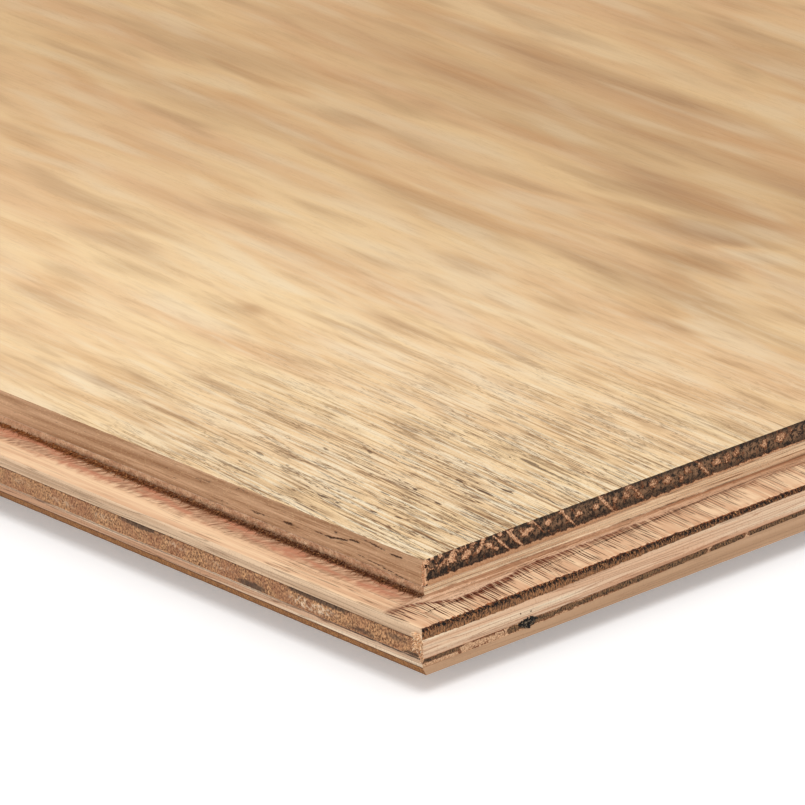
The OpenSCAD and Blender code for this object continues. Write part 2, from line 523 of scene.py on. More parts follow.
oak = {
    "light": toLinear(255, 221, 170),
    "mid": toLinear(242, 200, 153),
    "streak": toLinear(172, 132, 92),
    "line": toLinear(138, 88, 44),
    "brown": toLinear(168, 122, 82),
    "pale": toLinear(255, 236, 202),
    "pore": toLinear(76, 44, 20),
    "farShade": (0.75, 0.685, 0.615, 1),
    "warm": toLinear(224, 172, 116),
    "drift": math.radians(4),        # between the grain and the plank's length
    "side": toLinear(226, 184, 146),
    "sideDark": toLinear(172, 128, 92),
    "sidePore": toLinear(62, 34, 16),
    "charcoal": toLinear(36, 29, 24),
    "ash": toLinear(140, 116, 94),
    "charcoalSoft": toLinear(146, 112, 84),
    "salmon": toLinear(246, 196, 154),
    "salmonDark": toLinear(200, 144, 106),
    "rust": toLinear(150, 86, 46),
    "rustDark": toLinear(84, 44, 20),
    "bare": toLinear(197, 149, 110),
    "stainDepth": 2.85,              # of the charred end, in millimetres
    # pores of the walking face: along and across the plank, half length, half width, slope, strength
    "pores": [
        (-10.5, 19.7, 2.0, 0.24, -0.08, 1.0), (-9.1, 21.9, 1.5, 0.22, -0.06, 0.9),
        (-2.8, 23.4, 2.2, 0.16, -0.2, 0.8), (-15.5, 20.1, 0.9, 0.22, -0.1, 0.9),
        (-3.3, 19.4, 3.4, 0.12, -0.1, 0.8), (-30.5, 18.8, 0.9, 0.35, -0.35, 0.75),
        (-12.0, 13.3, 0.9, 0.22, -0.1, 0.9), (-17.3, 14.4, 0.7, 0.28, -0.2, 0.9),
        (-6.0, 14.0, 5.4, 0.13, -0.12, 0.75), (-35.0, 15.6, 0.9, 0.3, -0.2, 0.7),
        (-11.1, 17.1, 1.4, 0.18, -0.05, 0.55), (-10.2, 29.7, 8.4, 0.26, -0.1, 0.72),
        (-14.2, 30.4, 2.2, 0.34, -0.08, 0.8), (-9.8, 44.9, 9.5, 0.3, -0.05, 0.6),
        (-9.2, 35.6, 8.0, 0.2, -0.07, 0.5), (-39.6, 8.8, 1.1, 0.34, -0.2, 0.8),
        (-46.7, 8.3, 1.8, 0.3, -0.05, 0.6), (-37.9, 3.6, 5.0, 0.24, -0.05, 0.75),
        (-23.6, 5.0, 1.2, 0.26, 0.0, 0.85), (-20.8, 4.9, 0.6, 0.24, 0.0, 0.8),
        (-15.5, 6.0, 0.9, 0.22, 0.0, 0.9), (-12.0, 6.9, 1.0, 0.18, 0.0, 0.8),
        (-24.5, 8.8, 6.0, 0.2, 0.02, 0.7), (-36.0, 11.8, 8.5, 0.22, -0.03, 0.5),
        (-22.0, 28.5, 1.5, 0.34, -0.05, 0.55), (-14.4, 27.6, 1.4, 0.3, -0.05, 0.55),
        (-5.5, 9.6, 3.4, 0.13, -0.1, 0.7), (-8.2, 3.4, 3.0, 0.14, -0.05, 0.7),
        (-3.6, 11.6, 2.4, 0.11, -0.14, 0.7), (-13.6, 2.2, 2.6, 0.16, -0.02, 0.7),
        (-18.8, 10.9, 1.2, 0.2, -0.05, 0.7), (-27.5, 2.6, 2.0, 0.18, 0.0, 0.6),
        (-4.6, 5.2, 2.2, 0.12, -0.12, 0.75), (-7.4, 25.6, 3.6, 0.15, -0.1, 0.6),
        (-20.6, 22.4, 4.4, 0.18, -0.06, 0.55), (-5.0, 48.6, 5.0, 0.26, -0.03, 0.5),
        (-2.6, 33.0, 2.8, 0.14, -0.08, 0.5), (-34.2, 8.6, 0.5, 0.3, -0.3, 0.6),
    ],
    # soft brown streaks, and a few light ones, of the same kind
    "figure": [
        (-72.5, 10.7, 6.4, 0.9, -0.07, 1.0), (-58.5, 9.9, 5.0, 0.6, -0.05, 0.9),
        (-62.5, 20.3, 5.0, 0.8, -0.03, 0.8), (-44.5, 21.6, 6.0, 0.6, -0.03, 0.7),
        (-70.0, 15.2, 3.5, 0.8, -0.1, 0.6), (-62.0, 18.2, 2.4, 0.6, 0.0, 0.5),
        (-63.0, 33.0, 3.6, 0.9, -0.06, 0.6), (-56.7, 26.3, 3.4, 0.8, -0.15, 0.6),
        (-79.5, 41.6, 3.0, 1.4, -0.2, 0.8), (-62.0, 45.6, 14.0, 0.9, -0.02, 0.7),
        (-61.0, 51.3, 7.5, 1.0, -0.04, 0.6), (-43.0, 54.4, 7.0, 0.8, -0.16, 0.8),
        (-41.5, 35.4, 4.0, 0.5, -0.08, 0.5), (-37.9, 28.6, 4.5, 0.6, -0.05, 0.5),
        (-4.6, 57.0, 4.0, 0.6, 0.0, 0.7), (-4.6, 54.4, 3.6, 0.5, 0.0, 0.6),
        (-18.5, 54.4, 2.6, 0.7, 0.0, 0.5), (-33.0, 46.0, 9.0, 0.5, -0.06, 0.35),
        (-44.0, 84.1, 20.0, 2.9, -0.12, 0.72), (-37.0, 75.8, 7.0, 1.6, -0.1, 0.81),
        (-72.0, 72.8, 6.0, 1.9, -0.08, 0.63), (-66.0, 111.5, 18.0, 3.6, -0.05, 0.8),
        (-58.0, 103.8, 12.0, 3.2, 0.1, 1.1), (-50.0, 94.6, 10.0, 2.4, -0.02, 0.85),
        (-88.0, 84.1, 16.0, 2.9, -0.1, 0.6), (-161.0, 109.0, 28.0, 5.0, -0.02, 0.5),
        (-100.0, 117.0, 40.0, 3.8, -0.03, 0.45), (-118.0, 140.5, 44.0, 4.8, -0.05, 0.72),
        (-112.0, 127.0, 60.0, 6.4, -0.03, 0.54), (-120.0, 53.0, 16.0, 1.4, -0.05, 0.6),
        (-98.0, 62.0, 20.0, 1.2, -0.04, 0.45), (-100.0, 163.0, 30.0, 8.0, -0.1, 0.45),
        (-35.0, 124.0, 30.0, 4.8, -0.05, 0.63), (-150.0, 92.0, 30.0, 3.5, -0.03, 0.45),
        (-46.0, 102.4, 6.5, 2.4, 0.35, -1.6), (-33.0, 96.5, 9.0, 2.9, -0.1, -0.9),
        (-66.0, 48.0, 9.0, 1.2, -0.03, -0.8), (-45.0, 57.5, 7.0, 0.9, -0.1, -0.8),
        (-60.0, 66.0, 30.0, 2.0, -0.04, -0.6), (-125.0, 104.5, 26.0, 3.2, -0.03, -0.7),
        (-128.0, 148.0, 32.0, 4.2, -0.05, -0.7), (-52.0, 3.5, 14.0, 0.8, -0.02, -0.6),
    ],
    # marks of the long side: distance along the plank, depth under the walking face
    "sideMarks": [
        (-4.7, 0.88, 1.6, 0.15, -0.06, 1.0), (-12.2, 1.1, 1.2, 0.17, -0.05, 0.95),
        (-14.6, 1.56, 2.0, 0.15, -0.12, 1.0), (-16.6, 1.88, 1.2, 0.17, -0.06, 1.0),
        (-18.6, 1.9, 0.9, 0.15, -0.04, 0.75), (-24.2, 2.3, 1.3, 0.2, -0.05, 0.85),
        (-29.7, 2.55, 2.2, 0.18, -0.03, 0.6), (-15.6, 1.0, 0.6, 0.14, 0.0, 0.75),
        (-8.6, 0.6, 2.6, 0.18, 0.1, 0.65), (-7.2, 3.06, 6.0, 0.12, 0.085, 0.7),
        (-33.0, 0.5, 1.8, 0.3, 0.0, 0.45), (-40.0, 1.2, 1.8, 0.35, -0.1, 0.45),
        (-49.0, 1.7, 1.6, 0.35, -0.1, 0.4), (-36.5, 3.0, 1.6, 0.3, 0.0, 0.4),
        (-2.2, 1.9, 1.0, 0.1, -0.1, 0.5), (-9.6, 2.2, 2.6, 0.09, 0.05, 0.45),
    ],
    # bare wood in the dark end: distance across the plank, depth under the walking face
    "endRays": [
        (14.7, 1.45, 1.5, 0.36, 1.0, 1.0), (12.6, 1.45, 1.4, 0.22, 0.95, 1.0),
        (10.6, 1.2, 0.7, 0.28, 0.3, 0.9), (23.5, 1.4, 1.4, 0.26, 1.0, 0.95),
        (29.9, 1.4, 1.5, 0.32, 1.0, 1.0), (35.3, 1.55, 1.3, 0.34, 1.0, 1.0),
        (46.3, 1.4, 1.3, 0.42, 1.0, 1.0), (18.6, 1.1, 1.0, 0.16, 1.0, 0.8),
        (9.2, 0.85, 0.75, 0.4, -1.2, 1.0), (4.6, 0.9, 0.75, 0.7, -0.2, 1.0),
        (6.8, 1.25, 0.8, 0.5, -0.3, 1.0), (11.7, 1.9, 0.5, 0.22, 0.3, 0.9),
        (3.0, 1.35, 0.8, 0.2, -0.6, 1.0), (16.7, 1.25, 1.0, 0.42, -0.2, 1.0),
        (20.2, 1.0, 0.6, 0.45, 0.0, 1.0), (25.2, 1.35, 0.7, 0.4, 0.0, 0.9),
        (28.2, 1.3, 0.6, 0.42, 0.0, 1.0), (31.3, 1.3, 0.5, 0.45, 0.0, 1.0),
        (33.2, 1.2, 0.8, 0.45, 0.0, 0.9), (37.8, 1.0, 0.7, 0.6, 0.0, 0.9), (40.2, 1.2, 0.8, 0.6, 0.0, 1.0),
        (42.5, 1.7, 0.5, 0.5, 0.0, 0.9), (43.5, 0.9, 0.6, 0.5, 0.0, 0.9), (48.6, 1.2, 0.9, 0.5, 0.0, 1.0),
        (50.4, 1.0, 0.6, 0.5, 0.0, 0.9), (52.0, 0.9, 0.7, 0.6, 0.0, 0.9), (56.9, 1.1, 0.7, 0.6, 0.0, 1.0),
        (59.8, 1.1, 1.0, 0.7, 0.0, 1.0), (9.6, 0.15, 0.4, 0.25, 0.0, 0.9),
        (12.4, 0.25, 0.5, 0.25, 0.0, 0.9), (14.0, 0.3, 0.6, 0.25, 0.0, 0.9), (0.5, 0.6, 0.5, 0.6, 0.3, 0.9),
        (17.4, 0.2, 0.6, 0.2, 0.0, 0.8), (22.4, 0.3, 0.5, 0.25, 0.0, 0.9),
        (28.9, 0.35, 0.5, 0.25, 0.0, 0.9), (33.6, 0.35, 0.7, 0.3, 0.0, 0.9),
    ],
}


def glueHeight(index, y):
    turn = 2 * math.pi * y / lay["wavePitch"]
    return topHeight - lay["glueDepth"][index] - lay["glueWave"][index] * math.cos(turn)


def bareWood(p):
    # how bare the end is: 0.5 at the edge of the charred stain
    depth = topHeight - p.z
    wander = 0.24 * rough(3, p.y * 1.6, p.z * 1.6, 2)
    bare = markDepth(oak["endRays"], p.y + wander, depth + 0.5 * wander) * (1 - 0.2 * ramp(p.y, 12, 40))
    crowd = 0.7 - 2.6 * abs(rough(7, p.y * 0.8, p.z * 0.8, 2))
    crowd -= 0.45 * ramp(p.y, 4, 22) + 0.6 * ramp(depth, 1.7, 2.3)
    bare = max(bare, crowd, 0.2 + 0.34 * rough(8, p.y * 1.1, p.z * 1.1))
    drip = 0.22 * rough(1, p.y * 1.5, 0, 3)
    stop = min(oak["stainDepth"], topHeight - glueHeight(0, p.y) - 0.17) + drip
    bare = max(bare, min(1.0, 0.5 + (depth - stop) * 2.5))
    return min(max(bare, 0.0), 1.0)


def oakFields():
    def pore(p):
        if p.z > topHeight - 0.01:
            return markDepth(oak["pores"], p.x, p.y)
        return markDepth(oak["sideMarks"], p.x, topHeight - p.z)

    def figure(p):
        return softMarks(oak["figure"], p.x, p.y)

    return {"pore": pore, "figure": figure, "bare": bareWood}


def oakEndMove(p):
    arris = ramp(p.z, topHeight - 0.4, topHeight)
    move = 0.05 * rough(0, p.y * 1.9, p.z * 1.9) + 0.07 * ramp(bareWood(p), 0.35, 0.6)
    move -= arris * max(0.0, rough(9, p.y * 1.2, 0) + 0.12) * 0.32
    return move - ramp(p.y, 0.7, 0.0) * max(0.0, 0.12 + 0.3 * rough(4, p.z * 1.7, 0))


def oakSideMove(p):
    move = 0.02 * rough(p.x * 0.2, 1, p.z * 2.2)
    move -= ramp(p.x, -0.8, 0.0) * max(0.0, 0.1 + 0.25 * rough(6, p.z * 1.9, 0))
    return move - 0.1 * ramp(p.z, topHeight - 0.2, topHeight) * max(0.0, rough(p.x * 0.5, 3, 0))


def oakTopMove(p):
    move = -0.16 * ramp(p.x, -0.3, 0.0) * max(0.0, rough(9, p.y * 1.2, 0) + 0.2)
    return move - 0.08 * ramp(p.y, 0.25, 0.0) * max(0.0, rough(p.x * 0.5, 3, 0) + 0.2)


def oakTop(tree, place):
    turned = put(tree, "ShaderNodeMapping", {"Vector": place, "Rotation": (0, 0, oak["drift"])}).outputs[0]
    sway = noiseOver(tree, turned, (0.009, 0.022, 0.02), 1, 0.5)
    swayed = vectorCalc(tree, "ADD", turned, vectorOf(tree, 0.0, times(tree, sway, 7.0)))
    parts = partsOf(tree, place)
    fromCorner = {0: vectorOf(tree, parts[0], parts[1])}
    away = put(tree, "ShaderNodeVectorMath", fromCorner, operation="LENGTH").outputs["Value"]
    # crisp near the corner, soft beyond, and a little crisper again on the rest of the plank
    crisp = plus(tree, remap(tree, away, 12, 85, 1.0, 0.07), remap(tree, away, 260, 600, 0.0, 0.35))
    bands = noiseOver(tree, swayed, (0.016, 0.13, 0.15), 2, 0.5, 0.5, shift=(5, 3, 0))
    mottle = noiseOver(tree, swayed, (0.04, 0.21, 0.2), 1.2, 0.5, 0.15, shift=(2, 7, 0), output="Color")
    mottle = partsOf(tree, mottle)
    streaks = noiseOver(tree, swayed, (0.1, 0.72, 0.7), 2, 0.5, shift=(1, 8, 0))
    lines = noiseOver(tree, swayed, (0.06, 2.4, 2.4), 2, 0.6, shift=(4, 5, 0))
    fine = noiseOver(tree, turned, (1.3, 5.5, 5.0), 2, 0.8)
    crowd = noiseOver(tree, turned, (0.1, 0.5, 0.35), 1, 0.5, shift=(9, 2, 0))
    threadNoise = noiseOver(tree, swayed, (0.09, 1.5, 1.5), 2, 0.6, shift=(3, 1, 0))
    threads = plus(tree, ridge(tree, threadNoise, 0.5, 0.032), ridge(tree, threadNoise, 0.42, 0.025))
    threads = times(tree, threads, remap(tree, crowd, 0.38, 0.55))
    figure = readAttribute(tree, "figure")
    pore = timesPlus(tree, minus(tree, fine, 0.5), 0.22, readAttribute(tree, "pore"))
    poreMask = higher(tree, remap(tree, pore, 0.42, 0.64), times(tree, threads, 0.55))

    colour = blend(tree, remap(tree, bands, 0.3, 0.76), oak["light"], oak["mid"])
    colour = blend(tree, remap(tree, figure, 0.0, 1.3, 0, 0.85, "LINEAR"), colour, oak["brown"])
    colour = blend(tree, remap(tree, figure, 0.0, -1.5, 0, 0.7, "LINEAR"), colour, oak["pale"])
    colour = tint(tree, colour, oak["streak"], mottle[0], 0.5, 0.75, 0.36)
    colour = tint(tree, colour, oak["warm"], mottle[1], 0.5, 0.75, 0.4)
    colour = tint(tree, colour, oak["pale"], mottle[0], 0.48, 0.28, 0.4)
    colour = blend(tree, times(tree, crisp, 0.5), colour, oak["light"])
    soft = higher(tree, remap(tree, away, 30, 150, 0.85, 0.08), crisp)
    for toward, value, low, high, amount, within in (
            ("streak", streaks, 0.48, 0.74, 0.5, soft), ("pale", streaks, 0.48, 0.3, 0.5, soft),
            ("pale", lines, 0.5, 0.38, 0.9, crisp), ("line", lines, 0.57, 0.66, 0.75, crisp),
            ("streak", fine, 0.52, 0.66, 0.5, crisp)):
        colour = tint(tree, colour, oak[toward], value, low, high, amount, within)
    colour = blend(tree, times(tree, times(tree, threads, crisp), 0.8), colour, oak["line"])
    colour = blend(tree, times(tree, times(tree, poreMask, crisp), 0.92), colour, oak["pore"])
    # painted shade: darker towards the back of the walking face, away from the near corner, where the light
    # falls off
    shadeAway = remap(tree, timesPlus(tree, parts[0], -0.2, parts[1]), 38, 135)
    shadeAway = times(tree, shadeAway, remap(tree, away, 260, 560, 1.0, 0.25))
    colour = blend(tree, shadeAway, colour, blend(tree, 1.0, colour, oak["farShade"], "MULTIPLY"))
    height = timesPlus(tree, lines, -0.7, times(tree, fine, -0.6))
    height = minus(tree, height, poreMask)
    return colour, times(tree, height, crisp)


def crispAlong(tree, along, soft, sharp, least):
    # crisp near the corner, soft beyond, and crisper again on the rest of the plank
    return plus(tree, remap(tree, along, soft, sharp, least, 1.0), remap(tree, along, -420, -260, 0.5, 0))


def oakSide(tree, place):
    fine = noiseOver(tree, place, (0.14, 2.0, 4.2), 3, 0.65)
    soft = noiseOver(tree, place, (0.04, 0.4, 1.0), 2, 0.5, shift=(4, 0, 2))
    threads = noiseOver(tree, place, (0.05, 0.4, 1.7), 2, 0.5, 0.2, shift=(2, 0, 6))
    threads = ridge(tree, threads, 0.5, 0.035)
    speck = noiseOver(tree, place, (2.2, 2.0, 5.0), 2, 0.6)
    dash = noiseOver(tree, place, (0.5, 4.0, 4.0), 1, 0.5, shift=(7, 0, 3))
    pore = timesPlus(tree, minus(tree, speck, 0.5), 0.5, readAttribute(tree, "pore"))
    dark = higher(tree, remap(tree, pore, 0.45, 0.62), remap(tree, dash, 0.7, 0.76, 0, 0.5))
    along = partsOf(tree, place)[0]
    crisp = crispAlong(tree, along, -100, -25, 0.3)
    colour = blend(tree, remap(tree, soft, 0.3, 0.75), oak["side"], oak["sideDark"])
    colour = tint(tree, colour, oak["sideDark"], fine, 0.44, 0.7, 0.75, crisp)
    colour = blend(tree, times(tree, times(tree, threads, crisp), 0.5), colour, oak["line"])
    colour = tint(tree, colour, oak["light"], speck, 0.54, 0.76, 0.5)
    colour = blend(tree, times(tree, dark, 0.95), colour, oak["sidePore"])
    height = minus(tree, times(tree, speck, 0.5), dark)
    return colour, timesPlus(tree, fine, -0.6, height)


def oakEnd(tree, place):
    parts = partsOf(tree, place)
    depth = minus(tree, topHeight, parts[2])
    speckle = noiseOver(tree, place, (0, 4.6, 4.6), 3, 0.75)
    patches = noiseOver(tree, place, (0, 1.5, 1.5), 3, 0.65, shift=(0, 3, 1))
    grit = minus(tree, speckle, 0.5)
    pits = noiseOver(tree, place, (0, 5.2, 5.2), 2, 0.6, shift=(0, 7, 4))
    value = timesPlus(tree, grit, 0.9, readAttribute(tree, "bare"))
    bare = remap(tree, value, 0.44, 0.6)
    rim = remap(tree, value, 0.3, 0.48)
    level = times(tree, remap(tree, depth, 0.2, 0.7, 0.25, 1.0), remap(tree, depth, 1.7, 2.3, 1.0, 0.4))
    further = remap(tree, parts[1], 8, 30, 0.0, 0.045)
    burnt = plus(tree, timesPlus(tree, speckle, 0.7, patches), further)
    burnt = remap(tree, burnt, 0.78, 1.0)
    colour = blend(tree, times(tree, burnt, level), oak["charcoal"], oak["charcoalSoft"])
    colour = tint(tree, colour, oak["ash"], speckle, 0.56, 0.74, 0.5)
    colour = tint(tree, colour, oak["rust"], pits, 0.62, 0.72, 0.45)
    colour = blend(tree, times(tree, rim, 0.7), colour, oak["rust"])
    tone = remap(tree, timesPlus(tree, grit, 1.2, patches), 0.36, 0.56)
    salmon = blend(tree, tone, oak["salmonDark"], oak["salmon"])
    salmon = tint(tree, salmon, oak["rustDark"], pits, 0.54, 0.62, 0.8)
    salmon = tint(tree, salmon, oak["bare"], depth, 2.5, 2.9, 0.75)
    colour = blend(tree, bare, colour, salmon)
    # bare rim at the long side, with dark open pores
    wobble = noiseOver(tree, place, (0, 1.3, 1.3), 2, 0.6)
    edge = remap(tree, timesPlus(tree, wobble, -0.9, parts[1]), -0.05, 0.2, 1, 0)
    edgeColour = tint(tree, oak["salmon"], oak["sidePore"], wobble, 0.55, 0.6)
    colour = blend(tree, edge, colour, edgeColour)
    height = plus(tree, times(tree, speckle, 1.2), times(tree, bare, 0.5))
    return colour, height


def oakMaterial():
    mat, tree, place, onEnd, onSide = startMaterial("oakFace")
    colour, height = oakTop(tree, place)
    for onWall, (wallColour, wallHeight) in ((onSide, oakSide(tree, place)), (onEnd, oakEnd(tree, place))):
        colour = blend(tree, onWall, colour, wallColour)
        height = mixValue(tree, onWall, height, wallHeight)
    return finishMaterial(mat, colour, height, 0.08)


shapeNode("face_veneer", "oakFaceVeneer", oakMaterial(),
          {"end": oakEndMove, "side": oakSideMove, "top": oakTopMove}, oakFields())


# tops of the tongues, which two veneers share
tongue = {
    "cream": toLinear(255, 216, 174),
    "creamDark": toLinear(232, 184, 144),
    "stripe": toLinear(112, 66, 40),
    "feather": toLinear(232, 190, 154),
    "featherDark": toLinear(150, 100, 70),
    "ledge": toLinear(244, 202, 166),
    "ledgeDark": toLinear(184, 136, 100),
    "rim": toLinear(126, 62, 34),
    "gap": toLinear(100, 46, 22),
    "tip": toLinear(206, 136, 88),
    "pink": toLinear(206, 136, 104),
    "crevice": toLinear(96, 48, 18),
    "creviceLight": toLinear(162, 94, 44),
}


def creamRibs(tree, place, outEnd):
    # long ply: cream ribs with thin dark stripes along the plank
    grain = useGroup(tree, longGrain, {"Place": place, "Along": 0.03, "Across": 1.3, "Shift": 23})
    colour = blend(tree, remap(tree, grain["Broad"], 0.38, 0.62), tongue["creamDark"], tongue["cream"])
    colour = tint(tree, colour, tongue["creamDark"], grain["Fine"], 0.48, 0.72, 0.6)
    stripes = noiseOver(tree, place, (0.05, 1.9, 1.0), 2, 0.5, 0.15, shift=(2, 6, 0))
    gate = noiseOver(tree, place, (0.16, 0.5, 0.5), 2, 0.5, shift=(1, 4, 0))
    stripes = times(tree, ridge(tree, stripes, 0.53, 0.035), remap(tree, gate, 0.42, 0.58))
    stripes = times(tree, stripes, remap(tree, outEnd, -60, -12, 0.2, 0.65))
    height = timesPlus(tree, stripes, -0.8, times(tree, grain["Fine"], 0.6))
    return blend(tree, stripes, colour, tongue["stripe"]), height


def featherEdge(tree, place, parts, wobble, cream):
    # end tongue: the cross ply over it ends in a feather edge, with a reddish rim, and the ribs past it
    # have dark gaps between them
    outEnd, across = parts[0], parts[1]
    turned = vectorOf(tree, across, outEnd, parts[2])
    grain = useGroup(tree, longGrain, {"Place": turned, "Along": 0.05, "Across": 2.4, "Shift": 5})
    feather = blend(tree, remap(tree, grain["Broad"], 0.36, 0.6), tongue["ledgeDark"], tongue["ledge"])
    feather = tint(tree, feather, tongue["ledgeDark"], across, 14, 60, 0.6)
    feather = tint(tree, feather, tongue["featherDark"], grain["Fine"], 0.48, 0.7, 0.6)
    feather = blend(tree, times(tree, grain["Lines"], 0.8), feather, tongue["stripe"])
    hangOver = lower(tree, remap(tree, across, 4, 19, 3.3, 1.7), remap(tree, across, -5, 3, 0.0, 3.3))
    past = minus(tree, outEnd, timesPlus(tree, wobble, 1.6, hangOver))
    ribs = noiseOver(tree, place, (0.09, 3.6, 0.0), 1, 0.6, shift=(3, 3, 0))
    wave = put(tree, "ShaderNodeTexWave", {
        "Vector": stretch(tree, place, 0.05, 1.0, 0.0), "Scale": 0.62, "Distortion": 9.0, "Detail": 2.0,
        "Detail Scale": 1.6, "Detail Roughness": 0.6}, bands_direction="Y").outputs["Fac"]
    gapReach = noiseOver(tree, place, (0.1, 1.4, 0.0), 1, 0.5, shift=(8, 1, 0))
    gapReach = plus(tree, remap(tree, gapReach, 0.3, 0.65, 1.2, 4.5), remap(tree, across, 2, 26, 0.4, 0.0))
    gapFade = remap(tree, minus(tree, past, gapReach), -1.2, 0.2, 1, 0)
    gaps = times(tree, times(tree, remap(tree, wave, 0.28, 0.04), gapFade), remap(tree, past, -0.3, 0.0))
    colour = blend(tree, remap(tree, past, -0.1, 0.1), feather, cream)
    rim = times(tree, remap(tree, past, -0.5, 0.0), remap(tree, past, 0.1, 1.2, 1, 0))
    teeth = times(tree, remap(tree, ribs, 0.4, 0.58, 0.25, 1.0), remap(tree, across, 16, 50, 1, 0.45))
    colour = blend(tree, times(tree, rim, teeth), colour, tongue["rim"])
    colour = blend(tree, times(tree, gaps, remap(tree, across, 10, 60, 1.0, 0.45)), colour, tongue["gap"])
    tips = times(tree, remap(tree, outEnd, 5.1, 6.1), remap(tree, ribs, 0.4, 0.56, 0.85, 0.2))
    colour = blend(tree, times(tree, tips, remap(tree, across, 30, 90, 0.5, 0.95)), colour, tongue["tip"])
    # painted shade: darker at the root of the end tongue, where its top meets the shoulder
    root = remap(tree, timesPlus(tree, wobble, 0.3, outEnd), 0.0, 0.9, 0.6, 0)
    colour = blend(tree, times(tree, root, remap(tree, across, -0.3, 0.3)), colour, tongue["featherDark"])
    ledge = times(tree, remap(tree, past, -0.15, 0.05, 1, 0), 0.8)
    return colour, timesPlus(tree, gaps, -1.4, ledge)


def tornLedge(tree, place, outSide, wobble, cream):
    # long side: dark furred crevice, its dark brown partly the torn fibres' own colour and partly painted
    # shade of the recess, then pink torn fibres, then cream
    slant = vectorCalc(tree, "ADD", place, vectorOf(tree, times(tree, outSide, 0.7), 0.0))
    torn = noiseOver(tree, slant, (2.6, 0.45, 0.0), 3, 0.65, shift=(0, 1, 0))
    reach = plus(tree, times(tree, wobble, 2.6), times(tree, torn, 0.9))
    pastPink = remap(tree, plus(tree, outSide, reach), 2.7, 4.3)
    pink = blend(tree, remap(tree, torn, 0.36, 0.66), tongue["featherDark"], tongue["feather"])
    patch = noiseOver(tree, place, (0.12, 0.5, 0.0), 2, 0.5, shift=(6, 2, 0))
    pink = tint(tree, pink, tongue["pink"], patch, 0.44, 0.6, 0.75)
    colour = blend(tree, pastPink, pink, cream)
    comb = noiseOver(tree, slant, (4.2, 0.6, 0.0), 2, 0.7)
    # painted shade: the crevice colour darkens the recess at the root of the long tongue, together with the
    # brown of the torn fibres
    crevice = remap(tree, timesPlus(tree, comb, -1.2, outSide), -0.3, 0.3, 1, 0)
    creviceColour = blend(tree, remap(tree, comb, 0.5, 0.7), tongue["crevice"], tongue["creviceLight"])
    colour = blend(tree, crevice, colour, creviceColour)
    return colour, minus(tree, times(tree, torn, minus(tree, 1.0, pastPink)), crevice)


def tongueTopGroup():
    tree, gin, gout = newGroup("tongueTop", [("Place", "Vector", None)],
                               [("Colour", "Color"), ("Height", "Float")])
    place = gin["Place"]
    parts = partsOf(tree, place)
    outEnd = parts[0]
    outSide = times(tree, parts[1], -1.0)
    wobble = minus(tree, noiseOver(tree, place, (0.9, 0.45, 0.0), 3, 0.6), 0.5)
    cream, ribHeight = creamRibs(tree, place, outEnd)
    endColour, endHeight = featherEdge(tree, place, parts, wobble, cream)
    sideColour, sideHeight = tornLedge(tree, place, outSide, wobble, cream)
    onSide = times(tree, remap(tree, outSide, -0.3, 0.1), remap(tree, outEnd, -1.6, 0.8, 1, 0))
    tree.links.new(blend(tree, onSide, endColour, sideColour), gout["Colour"])
    height = plus(tree, mixValue(tree, onSide, endHeight, sideHeight), ribHeight)
    tree.links.new(height, gout["Height"])
    return tree


tongueTop = tongueTopGroup()


def veneerBase(tree, place, onEnd, onSide, plan):
    # long grain on the faces that show it, cut fibres on the others
    parts = partsOf(tree, place)
    along = vectorOf(tree, parts[1], parts[0], parts[2]) if plan["grain"] == "Y" else place
    onCut = onSide if plan["grain"] == "Y" else onEnd
    grain = useGroup(tree, longGrain, {
        "Place": along, "Along": plan["along"], "Across": plan["across"], "Shift": plan["shift"]})
    cut = useGroup(tree, cutFibres, {
        "Place": place, "Size": plan["cutSize"], "Pull": plan["pull"], "Shift": plan["shift"]})
    long = blend(tree, remap(tree, grain["Broad"], 0.35, 0.65), plan["dark"], plan["light"])
    long = tint(tree, long, plan["dark"], grain["Fine"], 0.42, 0.72, plan["fineAmount"])
    long = blend(tree, times(tree, grain["Lines"], plan["lineAmount"]), long, plan["line"])
    long = tint(tree, long, plan["line"], cut["Speckle"], 0.52, 0.76, 0.45)
    spread = plan["cutSpread"]
    crisp = crispAlong(tree, parts[0], -95, -30, 0.35)
    speckle = mixValue(tree, crisp, 0.5, cut["Speckle"])
    ends = blend(tree, remap(tree, speckle, 0.5 - spread, 0.5 + spread), plan["cutDark"], plan["cutLight"])
    ends = tint(tree, ends, plan["patch"], cut["Patches"], 0.4, 0.65, plan["patchAmount"])
    ends = blend(tree, times(tree, cut["Pits"], plan["pitAmount"]), ends, plan["pit"])
    colour = blend(tree, onCut, long, ends)
    longHeight = minus(tree, grain["Fine"], times(tree, grain["Lines"], 0.5))
    cutHeight = minus(tree, cut["Speckle"], times(tree, cut["Pits"], 0.5))
    return colour, mixValue(tree, onCut, longHeight, cutHeight)


def lineAtGlue(tree, place, colour, index, above, below, toward, amount, rag):
    # a dark or pale line along a glue line, so far above and below it, with ragged edges
    under = useGroup(tree, underGlue, {
        "Place": place, "Depth": lay["glueDepth"][index], "Wave": lay["glueWave"][index]})["Distance"]
    ragged = noiseOver(tree, place, (1.3, 1.3, 0.3), 3, 0.7)
    level = timesPlus(tree, minus(tree, ragged, 0.5), rag * 4, under)
    low = remap(tree, level, -above - 0.05, -above + 0.03)
    high = remap(tree, level, below - 0.03, below + 0.05, 1, 0)
    return blend(tree, times(tree, times(tree, low, high), amount), colour, toward)


def withTongueTop(tree, place, onEnd, onSide, colour, height):
    top = useGroup(tree, tongueTop, {"Place": place})
    onWall = higher(tree, onEnd, onSide)
    return blend(tree, onWall, top["Colour"], colour), mixValue(tree, onWall, top["Height"], height)


